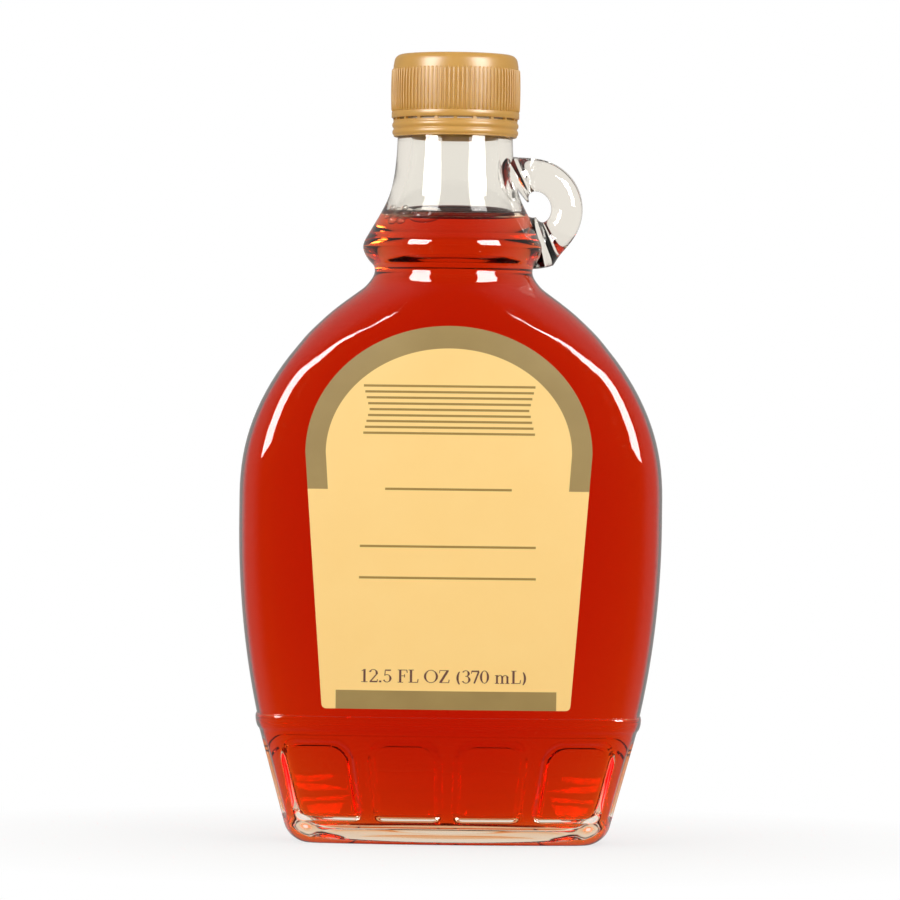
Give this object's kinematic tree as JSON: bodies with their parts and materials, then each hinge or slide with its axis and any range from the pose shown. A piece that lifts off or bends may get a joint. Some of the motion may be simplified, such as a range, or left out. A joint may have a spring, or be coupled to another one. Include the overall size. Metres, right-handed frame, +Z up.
{
  "type": "maple syrup bottle",
  "caption": "Flat oval glass syrup bottle with a finger loop at the neck, panelled base, arched paper label, ribbed screw cap and dark amber syrup inside.",
  "frame": {"origin": "centre of the base, on the plane that the bottle stands on", "axes": "+Z up along the bottle, +X towards the finger loop, -Y out of the labelled front"},
  "size_m": [0.101, 0.0491, 0.188],
  "materials": {
    "glass": "clear colourless moulded glass, polished",
    "syrup": "clear dark amber-red syrup",
    "label_paper": "cream paper with flat gold print, slightly satin",
    "cap_plastic": "gold-coloured moulded plastic, satin"
  },
  "bodies": {
    "root": {"bottle": "glass", "syrup": "syrup", "label": "label_paper", "cap": "cap_plastic", "tamper_band": "cap_plastic"}
  },
  "joints": []
}
